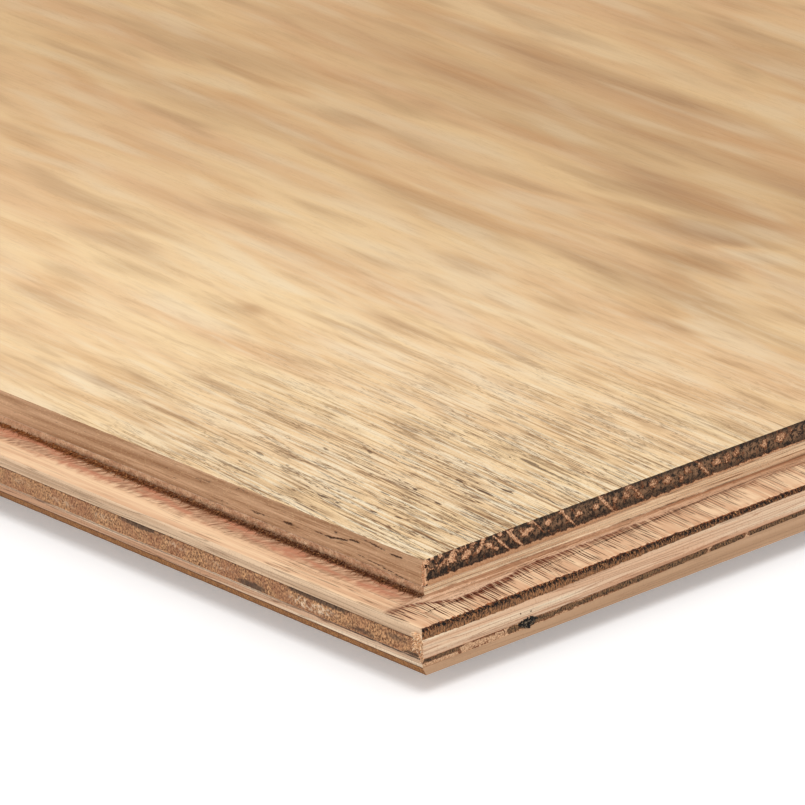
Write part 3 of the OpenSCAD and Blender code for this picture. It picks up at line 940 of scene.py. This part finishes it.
crossPly1 = {
    "grain": "Y", "along": 0.022, "across": 2.5, "shift": 11, "fineAmount": 0.8, "lineAmount": 0.85,
    "light": toLinear(255, 228, 190), "dark": toLinear(226, 182, 142), "line": toLinear(140, 88, 48),
    "cutSize": 1.5, "pull": 0.8, "cutSpread": 0.18, "patchAmount": 0.45, "pitAmount": 0.45,
    "cutLight": toLinear(252, 212, 172), "cutDark": toLinear(212, 160, 120),
    "patch": toLinear(178, 116, 84), "pit": toLinear(104, 60, 38),
    "glue": toLinear(214, 184, 156), "rootShade": toLinear(150, 104, 68),
}


def crossPly1Material():
    mat, tree, place, onEnd, onSide = startMaterial("crossPly1Wood")
    colour, height = veneerBase(tree, place, onEnd, onSide, crossPly1)
    parts = partsOf(tree, place)
    # painted shade: a dark line just above the root of the end tongue, where the shoulder meets the tongue
    # top
    wave = noiseOver(tree, place, (0, 0.12, 0), 2, 0.5)
    aboveRoot = minus(tree, parts[2], lay["rootHeight"])
    aboveRoot = timesPlus(tree, minus(tree, wave, 0.5), -0.5, aboveRoot)
    rootShade = times(tree, remap(tree, aboveRoot, 0.0, 0.2, 1, 0), mixValue(tree, onSide, 0.85, 0.75))
    colour = blend(tree, rootShade, colour, crossPly1["rootShade"])
    colour = lineAtGlue(tree, place, colour, 0, 0.1, 0.12, crossPly1["glue"], 0.6, 0.03)
    colour, height = withTongueTop(tree, place, onEnd, onSide, colour, height)
    return finishMaterial(mat, colour, height, 0.08)


longPly1 = {
    "grain": "X", "along": 0.03, "across": 1.4, "shift": 23, "fineAmount": 0.6, "lineAmount": 0.5,
    "light": toLinear(240, 206, 170), "dark": toLinear(204, 166, 132), "line": toLinear(140, 100, 72),
    "cutSize": 1.9, "pull": 0.35, "cutSpread": 0.09, "patchAmount": 0.2, "pitAmount": 0.7,
    "cutLight": toLinear(182, 126, 82), "cutDark": toLinear(28, 18, 12),
    "patch": toLinear(176, 126, 88), "pit": toLinear(22, 14, 10),
    "blot": toLinear(20, 14, 11), "orange": toLinear(178, 96, 48), "char": toLinear(54, 30, 16),
}


def longPly1Material():
    mat, tree, place, onEnd, onSide = startMaterial("longPly1Wood")
    colour, height = veneerBase(tree, place, onEnd, onSide, longPly1)
    parts = partsOf(tree, place)
    # black and orange blots under the torn upper edge of the end
    ticks = noiseOver(tree, place, (0, 2.4, 1.5), 3, 0.75)
    under = minus(tree, lay["rootHeight"] - lay["fall"], parts[2])
    level = timesPlus(tree, ticks, -2.0, under)
    blots = times(tree, remap(tree, level, -0.6, -0.3, 1, 0), remap(tree, ticks, 0.4, 0.5))
    orange = times(tree, remap(tree, under, 0.1, 0.28, 0.8, 0), remap(tree, ticks, 0.42, 0.56, 1, 0.2))
    endColour = blend(tree, blots, colour, longPly1["blot"])
    endColour = blend(tree, orange, endColour, longPly1["orange"])
    worn = times(tree, remap(tree, parts[2], 7.6, 8.5, 0.6, 0), remap(tree, ticks, 0.56, 0.4))
    worn = times(tree, worn, remap(tree, parts[1], 30, 110, 1.0, 0.3))
    endColour = blend(tree, worn, endColour, longPly1["patch"])
    endColour = tint(tree, endColour, longPly1["char"], parts[1], 15, 110, 0.35)
    colour = blend(tree, onEnd, colour, endColour)
    colour, height = withTongueTop(tree, place, onEnd, onSide, colour, height)
    height = timesPlus(tree, times(tree, ticks, onEnd), 1.2, height)
    return finishMaterial(mat, colour, height, 0.09)


crossPly2 = {
    "grain": "Y", "along": 0.03, "across": 1.5, "shift": 37, "fineAmount": 0.6, "lineAmount": 0.55,
    "light": toLinear(255, 236, 204), "dark": toLinear(228, 184, 148), "line": toLinear(176, 110, 72),
    "cutSize": 1.2, "pull": 0.7, "cutSpread": 0.18, "patchAmount": 0.5, "pitAmount": 0.6,
    "cutLight": toLinear(242, 184, 132), "cutDark": toLinear(98, 56, 32),
    "patch": toLinear(164, 106, 76), "pit": toLinear(72, 42, 26),
    "glue": toLinear(62, 42, 28), "sparkle": toLinear(255, 224, 190), "smoke": toLinear(72, 56, 46),
}


def crossPly2Material():
    mat, tree, place, onEnd, onSide = startMaterial("crossPly2Wood")
    colour, height = veneerBase(tree, place, onEnd, onSide, crossPly2)
    # light torn patches and smoky stains of the long side
    tear = readAttribute(tree, "tear")
    grit = noiseOver(tree, place, (1.6, 1.6, 2.0), 3, 0.7, shift=(4, 1, 2))
    sparkle = times(tree, remap(tree, tear, 0.1, 0.9), remap(tree, grit, 0.46, 0.6))
    smoke = remap(tree, timesPlus(tree, minus(tree, grit, 0.5), 0.6, tear), -0.04, -0.5)
    sided = blend(tree, times(tree, sparkle, 0.85), colour, crossPly2["sparkle"])
    sided = blend(tree, times(tree, smoke, 0.8), sided, crossPly2["smoke"])
    sided = lineAtGlue(tree, place, sided, 2, 0.2, 0.14, crossPly2["glue"], 0.85, 0.06)
    holed = tint(tree, colour, crossPly2["pit"], tear, -0.3, -0.7, 0.9)
    holed = lineAtGlue(tree, place, holed, 3, 0.45, 0.1, crossPly2["line"], 0.4, 0.12)
    colour = blend(tree, onSide, blend(tree, onEnd, colour, holed), sided)
    height = timesPlus(tree, times(tree, grit, onSide), 1.6, height)
    return finishMaterial(mat, colour, height, 0.1)


longPly2 = {
    "grain": "X", "along": 0.03, "across": 1.6, "shift": 41, "fineAmount": 0.7, "lineAmount": 0.75,
    "light": toLinear(255, 228, 196), "dark": toLinear(212, 162, 126), "line": toLinear(124, 76, 46),
    "cutSize": 1.6, "pull": 0.5, "cutSpread": 0.13, "patchAmount": 0.3, "pitAmount": 0.75,
    "cutLight": toLinear(152, 112, 76), "cutDark": toLinear(30, 21, 14),
    "patch": toLinear(124, 88, 58), "pit": toLinear(18, 14, 11),
    "salmon": toLinear(230, 186, 146), "salmonDark": toLinear(170, 124, 90),
    "rust": toLinear(136, 78, 44), "glue": toLinear(50, 28, 16),
}


def longPly2Material():
    mat, tree, place, onEnd, onSide = startMaterial("longPly2Wood")
    colour, height = veneerBase(tree, place, onEnd, onSide, longPly2)
    grit = noiseOver(tree, place, (0, 3.6, 4.2), 3, 0.7, shift=(0, 2, 5))
    level = timesPlus(tree, minus(tree, grit, 0.5), 0.8, readAttribute(tree, "bare"))
    salmon = blend(tree, remap(tree, grit, 0.38, 0.58), longPly2["salmonDark"], longPly2["salmon"])
    rust = times(tree, remap(tree, level, 0.3, 0.48), 0.8)
    endColour = blend(tree, rust, colour, longPly2["rust"])
    endColour = tint(tree, endColour, salmon, level, 0.46, 0.6)
    seam = lineAtGlue(tree, place, endColour, 3, 0.1, 0.1, longPly2["rust"], 0.7, 0.08)
    colour = blend(tree, onEnd, colour, seam)
    # burnt glue seam of the long side, darkest at the corner
    charred = lineAtGlue(tree, place, colour, 3, 0.12, 0.16, longPly2["glue"], 0.9, 0.08)
    nearCorner = remap(tree, partsOf(tree, place)[0], -14, -4, 0.5, 1.0)
    colour = blend(tree, times(tree, onSide, nearCorner), colour, charred)
    height = timesPlus(tree, times(tree, grit, onEnd), 1.2, height)
    return finishMaterial(mat, colour, height, 0.09)


crossPly3 = {
    "grain": "Y", "along": 0.02, "across": 1.0, "shift": 53, "fineAmount": 0.5, "lineAmount": 0.3,
    "light": toLinear(202, 162, 127), "dark": toLinear(184, 145, 111), "line": toLinear(166, 124, 92),
    "cutSize": 1.5, "pull": 0.3, "cutSpread": 0.18, "patchAmount": 0.5, "pitAmount": 0.35,
    "cutLight": toLinear(204, 142, 82), "cutDark": toLinear(120, 72, 30),
    "patch": toLinear(150, 98, 56), "pit": toLinear(88, 50, 22),
    "glue": toLinear(92, 52, 22), "footShade": toLinear(70, 40, 20),
}


def crossPly3Material():
    mat, tree, place, onEnd, onSide = startMaterial("crossPly3Wood")
    colour, height = veneerBase(tree, place, onEnd, onSide, crossPly3)
    lined = lineAtGlue(tree, place, colour, 4, 0.1, 0.16, crossPly3["glue"], 0.8, 0.05)
    # painted shade: darker along the bottom edge of the long side, where a downward-facing edge is shaded
    lined = tint(tree, lined, crossPly3["footShade"], partsOf(tree, place)[2], 3.35, 3.0, 0.55)
    colour = blend(tree, onSide, colour, lined)
    return finishMaterial(mat, colour, height, 0.06)


backVeneer = {
    "grain": "X", "along": 0.02, "across": 1.1, "shift": 67, "fineAmount": 0.5, "lineAmount": 0.5,
    "light": toLinear(224, 188, 146), "dark": toLinear(202, 162, 120), "line": toLinear(164, 122, 86),
    "cutSize": 1.4, "pull": 0.6, "cutSpread": 0.18, "patchAmount": 0.4, "pitAmount": 0.5,
    "cutLight": toLinear(164, 128, 98), "cutDark": toLinear(104, 80, 62),
    "patch": toLinear(140, 104, 78), "pit": toLinear(64, 48, 38),
}


def backVeneerMaterial():
    mat, tree, place, onEnd, onSide = startMaterial("backVeneerWood", shaped=False)
    colour, height = veneerBase(tree, place, onEnd, onSide, backVeneer)
    return finishMaterial(mat, colour, height, 0.07)


def near(value, middle, halfWidth):
    return math.exp(-((value - middle) / halfWidth) ** 2)


def onLongTongue(p):
    return ramp(-p.y, -0.1, 0.1) * (1 - ramp(p.x, -1.6, 0.8))


def longPlyTop(p):
    # crevice and torn fibres beside the long tongue, ribs of grain on the end tongue
    outSide = -p.y
    onSide = onLongTongue(p)
    crevice = -0.2 * (1 - ramp(outSide, 0.2, 1.1))
    torn = 0.1 * rough(p.x * 1.9 + outSide * 1.2, p.y * 0.3, 1) * (1 - ramp(outSide, 3.2, 4.4))
    seam = 1 - near(outSide, 3.33, 0.35)    # the two plies meet level here
    side = seam * (crevice + torn + 0.04 * rough(p.x * 0.08, p.y * 1.6, 4))
    end = 0.09 * rough(p.x * 0.12, p.y * 1.5, 3)
    end -= 0.1 * ramp(p.x, 5.4, 6.4) * max(0.0, rough(1, p.y * 1.9, 0))
    return side * onSide + end * (1 - onSide)


# how far each ply's cut faces stand out, from its grain and the way it tore
plyMoves = {
    "cross_ply_1": {
        "end": lambda p: 0.09 * rough(2, p.y * 0.05, p.z * 1.5) + 0.03 * rough(3, p.y * 0.3, p.z * 4)
        - 0.12 * near(p.z, 9.75 + 0.1 * rough(5, p.y * 0.1, 0), 0.16),
        "side": lambda p: 0.13 * rough(p.x * 1.9, 4, p.z * 1.9) - 0.15 * ramp(p.z, 10.0, lay["rootHeight"]),
        "top": lambda p: longPlyTop(p) + 0.07 * (1 - onLongTongue(p)),
    },
    "long_ply_1": {
        "end": lambda p: 0.2 * rough(1, p.y * 1.9, p.z * 0.2) + 0.08 * rough(2, p.y * 4, p.z * 1.6) - 0.1,
        "side": lambda p: 0.04 * rough(p.x * 0.06, 3, p.z * 2.2) - 0.12 * ramp(p.x, 5.6, lay["endReach"]),
        "top": longPlyTop,
    },
    "cross_ply_2": {
        "end": lambda p: 0.05 * rough(5, p.y * 0.05, p.z * 1.4) + 0.015 * rough(6, p.y * 0.3, p.z * 5),
        "side": lambda p: 0.14 * rough(p.x * 1.7, 6, p.z * 1.7) - 0.06
        + 0.12 * near(p.x, -12.5, 4.5) * near(p.z, 6.1, 0.6) - 0.14 * near(p.z, 7.45, 0.15),
    },
    "long_ply_2": {
        "end": lambda p: 0.14 * rough(8, p.y * 1.3, p.z * 1.3) - 0.05,
        "side": lambda p: 0.03 * rough(p.x * 0.1, 7, p.z * 2),
    },
    "cross_ply_3": {
        "end": lambda p: 0.03 * rough(9, p.y * 0.5, p.z * 0.9),
        "side": lambda p: 0.04 * rough(p.x * 0.8, 8, p.z * 0.8),
    },
}


# marks of the middle cross ply's long side: along the plank, height, half length, half height, slope
# and strength, which is above 0 for a pale patch and below it for a dark one
sideTears = [
    (-12.9, 6.15, 4.2, 0.75, 0.0, 1.0), (-11.8, 7.35, 5.2, 0.5, 0.0, -1.0),
    (-24.0, 5.5, 2.6, 0.5, 0.0, -0.7), (-30.0, 6.3, 3.0, 0.5, 0.0, 0.5), (-38.0, 6.6, 2.2, 0.5, 0.0, 0.55),
    (-45.0, 7.2, 4.0, 0.35, 0.0, -0.6), (-52.0, 6.3, 2.5, 0.5, 0.0, 0.5), (2.0, 6.6, 2.2, 0.5, 0.0, -0.35),
    (4.9, 5.2, 1.6, 0.35, 0.0, -1.0), (-60.0, 6.1, 3.5, 0.5, 0.0, 0.45), (-68.0, 6.5, 2.5, 0.4, 0.0, 0.4),
    (-4.0, 5.6, 3.0, 0.4, 0.0, -0.4),
]
# and two pin holes in its end: across the plank, height, then the same
pinHoles = [(9.4, 6.3, 0.16, 0.16, 0.0, -1.0), (11.1, 6.15, 0.18, 0.16, 0.0, -1.0)]


def thinPlyBare(p):
    # how bare the thin long ply is on the end: charred strip, mottled stretch, then mostly charred
    low, high = glueHeight(4, p.y), glueHeight(3, p.y)
    level = (p.z - low) / (high - low)
    mottle = rough(p.y * 0.7, 5, p.z * 0.9)
    if p.y < -0.7:
        return 0.8 - 0.9 * ramp(level, 0.35, 0.6)
    if p.y < 6.8:
        return 0.62 + 0.5 * mottle - 0.3 * ramp(level, 0.6, 0.9)
    chip = 0.9 * near(p.y, 7.1, 0.22) + 0.5 * near(p.y, 40.9, 0.5) + 0.6 * near(p.y, 47.4, 0.45)
    worn = 1 - 0.65 * ramp(p.y, 20, 40)
    edges = 0.55 * ramp(level, 0.66, 0.95) + 0.5 * ramp(level, 0.32, 0.05)
    return 0.1 + 0.3 * mottle + chip + worn * edges


def middlePlyTear(p):
    if p.x > lay["endReach"] - 0.1:
        return softMarks(pinHoles, p.y, p.z)
    return softMarks(sideTears, p.x, p.z)


for node, pieceName, slotName, makeMaterial, fields in (
        ("cross_ply_1", "upperCrossPly", "cross_veneer", crossPly1Material, {}),
        ("long_ply_1", "tonguePly", "long_veneer", longPly1Material, {}),
        ("cross_ply_2", "middleCrossPly", "cross_veneer", crossPly2Material, {"tear": middlePlyTear}),
        ("long_ply_2", "darkLongPly", "dark_long_veneer", longPly2Material, {"bare": thinPlyBare}),
        ("cross_ply_3", "lowerCrossPly", "cross_veneer", crossPly3Material, {})):
    shapeNode(node, pieceName, makeMaterial(), plyMoves[node], fields)

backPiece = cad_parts["back_veneer"]
backPiece.data.materials.clear()
backPiece.data.materials.append(backVeneerMaterial())
print("veneers dressed")


def fibreTree():
    # bent, tapering fibres scattered over a strip
    tree = bpy.data.node_groups.new("tornFibres", "GeometryNodeTree")
    face = tree.interface
    sockets = [("Geometry", "Geometry"), ("Density", "Float"), ("Length", "Float"), ("Thickness", "Float"),
               ("Bend", "Float"), ("Lean Low", "Vector"), ("Lean High", "Vector"), ("Seed", "Int"),
               ("Material", "Material")]
    for socketName, kind in sockets:
        face.new_socket(socketName, in_out="INPUT", socket_type="NodeSocket" + kind)
    face.new_socket("Geometry", in_out="OUTPUT", socket_type="NodeSocketGeometry")
    gin = tree.nodes.new("NodeGroupInput").outputs
    gout = tree.nodes.new("NodeGroupOutput").inputs
    cone = put(tree, "GeometryNodeMeshCone", {
        "Vertices": 3, "Side Segments": 2, "Radius Top": 0.0, "Radius Bottom": 1.0,
        "Depth": 1.0}, fill_type="NONE")
    parts = partsOf(tree, put(tree, "GeometryNodeInputPosition").outputs[0])
    bend = times(tree, times(tree, parts[2], parts[2]), gin["Bend"])
    bent = put(tree, "GeometryNodeSetPosition", {
        "Geometry": cone.outputs["Mesh"], "Offset": vectorOf(tree, bend, 0.0)})
    points = put(tree, "GeometryNodeDistributePointsOnFaces", {
        "Mesh": gin["Geometry"], "Density": gin["Density"],
        "Seed": gin["Seed"]}, distribute_method="RANDOM")
    leans = {0: gin["Lean Low"], 1: gin["Lean High"], "Seed": 3}
    lean = put(tree, "FunctionNodeRandomValue", leans, data_type="FLOAT_VECTOR").outputs[0]
    size = put(tree, "FunctionNodeRandomValue", {2: 0.45, 3: 1.0, "Seed": 5}, data_type="FLOAT").outputs[1]
    wide = times(tree, size, gin["Thickness"])
    scale = vectorOf(tree, wide, wide, times(tree, size, gin["Length"]))
    laid = put(tree, "GeometryNodeInstanceOnPoints", {
        "Points": points.outputs["Points"], "Instance": bent.outputs[0], "Rotation": lean, "Scale": scale})
    real = put(tree, "GeometryNodeRealizeInstances", {"Geometry": laid.outputs[0]}).outputs[0]
    done = put(tree, "GeometryNodeSetMaterial", {"Geometry": real, "Material": gin["Material"]}).outputs[0]
    tree.links.new(done, gout[0])
    return tree


tornFibres = fibreTree()

# strips that torn fibres grow from, in millimetres from the near corner, with leans in degrees; the
# fibres are dark at fadeFrom and of their middle colour at fadeTo, along the axis
strips = {
    "rootFuzz": {
        "slot": "cross_veneer", "start": (8 - boardLength, -0.02, 9.42), "stop": (0, -0.02, 9.42),
        "rise": (0, 0, 0.26), "perMm": 8.0, "length": 2.2, "thickness": 0.072, "bend": 5.0,
        "lean": ((90, 0, -36), (107, 0, 36)), "seed": 4,
        "dark": toLinear(76, 34, 8), "mid": toLinear(152, 84, 32), "light": toLinear(198, 142, 92),
        "fadeFrom": -0.5, "fadeTo": -2.4, "axis": 1, "paler": 0.6,
    },
    "noseFuzz": {
        "slot": "long_veneer", "start": (6.3, -6.0, 8.93), "stop": (6.3, boardWidth - 7, 8.93),
        "rise": (0.24, 0, -0.16), "perMm": 5.5, "length": 0.6, "thickness": 0.1, "bend": 2.0,
        "lean": ((0, 70, -25), (0, 128, 25)), "seed": 9,
        "dark": toLinear(24, 16, 12), "mid": toLinear(150, 84, 44), "light": toLinear(226, 170, 116),
        "fadeFrom": 8.95, "fadeTo": 8.55, "axis": 2,
    },
    "tongueSplinters": {
        "slot": "long_veneer", "start": (5.5, -6.36, 6.3), "stop": (5.5, -6.36, 8.3),
        "rise": (1.0, 0.02, 0), "perMm": 55, "length": 1.0, "thickness": 0.2, "bend": 0.7,
        "lean": ((35, 0, -50), (140, 0, 60)), "seed": 2,
        "dark": toLinear(150, 104, 68), "mid": toLinear(246, 206, 164), "light": toLinear(255, 240, 214),
        "fadeFrom": 4.0, "fadeTo": 5.2, "axis": 2,
    },
    "lowerSplinters": {
        "slot": "cross_veneer", "start": (6.2, -6.34, 4.9), "stop": (6.2, -6.34, 6.4),
        "rise": (0.36, 0.2, 0), "perMm": 30, "length": 0.7, "thickness": 0.15, "bend": 0.7,
        "lean": ((40, 0, -20), (140, 0, 80)), "seed": 3,
        "dark": toLinear(150, 100, 64), "mid": toLinear(228, 184, 144), "light": toLinear(255, 226, 192),
        "fadeFrom": 4.0, "fadeTo": 5.2, "axis": 2,
    },
    "oakSplinters": {
        "slot": "oak_face", "start": (-0.25, 0.0, 10.7), "stop": (-0.25, 0.0, 13.7),
        "rise": (0.26, 0.14, 0), "perMm": 20, "length": 0.45, "thickness": 0.14, "bend": 0.6,
        "lean": ((30, 0, -10), (150, 0, 80)), "seed": 6,
        "dark": toLinear(92, 50, 26), "mid": toLinear(226, 174, 132), "light": toLinear(255, 216, 180),
        "fadeFrom": 9.0, "fadeTo": 10.2, "axis": 2,
    },
}


def fibreMaterial(name, plan):
    mat, tree = newMaterial(name)
    place = placeFromCorner(tree)
    parts = partsOf(tree, place)
    tone = noiseOver(tree, place, (4.0, 4.0, 4.0), 2, 0.7)
    dark = plan["dark"]
    if "paler" in plan:    # away from the near corner
        dark = tint(tree, dark, plan["mid"], parts[0], -25, -80, plan["paler"])
    colour = tint(tree, dark, plan["mid"], parts[plan["axis"]], plan["fadeFrom"], plan["fadeTo"])
    colour = tint(tree, colour, plan["light"], tone, 0.5, 0.66, 0.85)
    colour = tint(tree, colour, dark, tone, 0.44, 0.32, 0.8)
    return finishMaterial(mat, colour, tone, 0.03)


def growFibres(name, plan):
    start, stop, rise = [Vector(plan[key]) for key in ("start", "stop", "rise")]
    spots = [toCorner.inverted() @ p for p in (start, stop, stop + rise, start + rise)]
    mesh = bpy.data.meshes.new(name)
    mesh.from_pydata(spots, [], [(0, 1, 2, 3)])
    mesh.update()
    piece = newObject(name, mesh)
    values = {
        "Density": plan["perMm"] / (rise.length * mm * mm), "Length": plan["length"] * mm,
        "Thickness": plan["thickness"] * mm, "Bend": plan["bend"], "Seed": plan["seed"],
        "Lean Low": [math.radians(a) for a in plan["lean"][0]],
        "Lean High": [math.radians(a) for a in plan["lean"][1]],
        "Material": fibreMaterial(name + "Wood", plan),
    }
    growth = piece.modifiers.new("growth", "NODES")
    growth.node_group = tornFibres
    for item in tornFibres.interface.items_tree:
        if item.in_out == "INPUT" and item.name in values:
            growth[item.identifier] = values[item.name]
    grown = piece.evaluated_get(bpy.context.evaluated_depsgraph_get())
    finished = bpy.data.meshes.new_from_object(grown)
    piece.modifiers.remove(growth)
    piece.data = finished
    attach(piece, "root")
    finished.calc_loop_triangles()
    print(name, len(finished.loop_triangles), "triangles")


for name, plan in strips.items():
    growFibres(name, plan)

# glue that squeezed out and burnt on the end of the thin ply: across the plank, height, radius
glueDrops = {
    "spots": [
        (9.35, 4.8, 0.16), (9.6, 5.1, 0.2), (9.8, 4.7, 0.22), (10.05, 5.2, 0.2), (10.2, 4.85, 0.25),
        (10.35, 4.45, 0.2), (10.5, 5.3, 0.2), (10.65, 4.95, 0.24), (10.7, 4.2, 0.16),
        (10.8, 4.55, 0.22), (11.0, 5.3, 0.2), (11.1, 4.9, 0.25), (11.25, 4.5, 0.16),
        (11.4, 5.2, 0.2), (11.55, 4.85, 0.18), (11.8, 5.1, 0.16), (12.05, 4.95, 0.12),
        (9.1, 4.95, 0.12), (10.1, 4.3, 0.12),
    ],
    "flatness": 0.7,
    "dark": toLinear(16, 13, 11), "pale": toLinear(150, 130, 106),
}


def makeGlueDrops():
    bm = bmesh.new()
    for y, z, radius in glueDrops["spots"]:
        ball = bmesh.ops.create_icosphere(bm, subdivisions=3, radius=radius)["verts"]
        for v in ball:
            v.co *= 1 + 0.95 * rough(v.co.y * 8 + 5 * y, v.co.z * 8 + 5 * z, v.co.x * 8)
            v.co.x *= glueDrops["flatness"]
            v.co += Vector((lay["endReach"], y, z))
    bm.transform(toCorner.inverted())
    for f in bm.faces:
        f.smooth = True
    mesh = bpy.data.meshes.new("burntGlue")
    bm.to_mesh(mesh)
    bm.free()
    mat, tree = newMaterial("burntGlueBlack")
    tone = noiseAt(tree, stretch(tree, placeFromCorner(tree), 3.5, 3.5, 3.5), 1, 3, 0.7)
    # painted highlight: the pale grey flecks stand for glints on the shiny lumps of burnt glue
    colour = blend(tree, remap(tree, tone, 0.54, 0.64), glueDrops["dark"], glueDrops["pale"])
    mesh.materials.append(finishMaterial(mat, colour, tone, 0.08, remap(tree, tone, 0.3, 0.7, 0.35, 0.7)))
    piece = newObject("burntGlue", mesh)
    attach(piece, "root")


makeGlueDrops()
print("fibres and glue made")

studio = {
    "floorSize": 12.0,               # in metres, like the drop under the plank
    "floorDrop": 0.0001,
    "floorColour": (0.86, 0.86, 0.86, 1),
    "floorGlow": 0.3,
    "sky": 0.62,
    "sun": 1.35,
    "sunAngle": math.radians(25),
    "sunFrom": (0.55, -0.35, 1.0),
}


def makeFloor():
    half = studio["floorSize"] / 2
    z = cadBox[0][2] - studio["floorDrop"]
    mesh = bpy.data.meshes.new("floor")
    corners = [(-half, -half, z), (half, -half, z), (half, half, z), (-half, half, z)]
    mesh.from_pydata(corners, [], [(0, 1, 2, 3)])
    floor = newObject("floor", mesh)
    mat, tree = newMaterial("paleFloor")
    shader = put(tree, "ShaderNodeBsdfPrincipled", {"Base Color": studio["floorColour"], "Roughness": 0.9})
    glow = put(tree, "ShaderNodeEmission", {"Color": (1, 1, 1, 1), "Strength": studio["floorGlow"]})
    seen = put(tree, "ShaderNodeLightPath").outputs["Is Camera Ray"]
    both = put(tree, "ShaderNodeAddShader", {0: shader.outputs[0], 1: glow.outputs[0]})
    mix = put(tree, "ShaderNodeMixShader", {0: seen, 1: shader.outputs[0], 2: both.outputs[0]})
    tree.links.new(mix.outputs[0], put(tree, "ShaderNodeOutputMaterial").inputs[0])
    mesh.materials.append(mat)


def makeLight():
    world = bpy.data.worlds.new("studio")
    bpy.context.scene.world = world
    world.use_nodes = True
    tree = world.node_tree
    tree.nodes.clear()
    seen = put(tree, "ShaderNodeLightPath").outputs["Is Camera Ray"]
    strength = remap(tree, seen, 0, 1, studio["sky"], 1.0, "LINEAR")
    back = put(tree, "ShaderNodeBackground", {"Color": (1, 1, 1, 1), "Strength": strength})
    tree.links.new(back.outputs[0], put(tree, "ShaderNodeOutputWorld").inputs[0])
    lamp = bpy.data.lights.new("softSun", "SUN")
    lamp.energy = studio["sun"]
    lamp.angle = studio["sunAngle"]
    sun = newObject("softSun", lamp)
    sun.rotation_euler = Vector(studio["sunFrom"]).to_track_quat("Z", "Y").to_euler()


view = {
    "turn": math.radians(48.365),    # from -Y towards +X
    "lift": math.radians(21.121),
    "roll": math.radians(-1.318),
    "distance": 767.28 * mm,
    "aimRight": -2.446 * mm,         # from the corner to the middle of the view
    "aimUp": 18.614 * mm,
    "lens": 290.68,
    "sensor": 36,
    "nearest": 0.01,                 # what the camera sees, in metres
    "furthest": 50,
}


def makeCamera():
    turn, lift = view["turn"], view["lift"]
    back = Vector((math.sin(turn) * math.cos(lift), -math.cos(turn) * math.cos(lift), math.sin(lift)))
    level = Vector((math.cos(turn), math.sin(turn), 0))
    above = back.cross(level)
    right = level * math.cos(view["roll"]) + above * math.sin(view["roll"])
    up = above * math.cos(view["roll"]) - level * math.sin(view["roll"])
    corner = Vector((endFace, sideFace, walkingTop))
    aim = corner + right * view["aimRight"] + up * view["aimUp"]
    place = aim + back * view["distance"]
    data = bpy.data.cameras.new("camera")
    data.lens = view["lens"]
    data.sensor_width = view["sensor"]
    data.clip_start = view["nearest"]
    data.clip_end = view["furthest"]
    camera = newObject("camera", data)
    camera.matrix_world = Matrix((
        (right.x, up.x, back.x, place.x), (right.y, up.y, back.y, place.y),
        (right.z, up.z, back.z, place.z), (0, 0, 0, 1)))
    bpy.context.scene.camera = camera


makeFloor()
makeLight()
makeCamera()
bpy.context.scene.view_settings.view_transform = "Standard"
print("stage ready")
